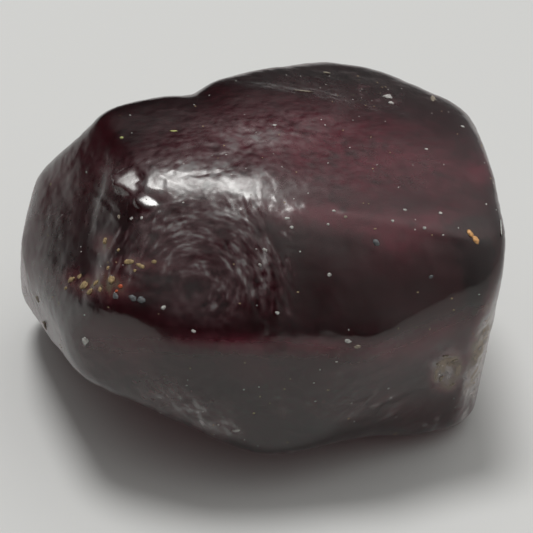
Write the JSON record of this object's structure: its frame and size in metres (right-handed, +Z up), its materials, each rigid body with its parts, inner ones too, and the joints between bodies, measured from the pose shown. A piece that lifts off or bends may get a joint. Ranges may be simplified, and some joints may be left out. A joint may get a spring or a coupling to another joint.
{
  "type": "garnet crystal",
  "caption": "Loose worn garnet crystal with soft rhombic faces, a sharp broken corner, growth ledges and etched pits, resting on a small flat.",
  "frame": {"origin": "under the middle of the stone's box, on the surface it rests on", "axes": "+X along the stone's longest extent, to the broken corner; -Y towards the face with the swirl of fracture lines; +Z up"},
  "size_m": [0.012, 0.01, 0.0077],
  "materials": {
    "garnet_crystal": "worn polish, deep wine red, see-through only at thin edges"
  },
  "bodies": {
    "root": {"garnet_crystal": "garnet_crystal"}
  },
  "joints": []
}
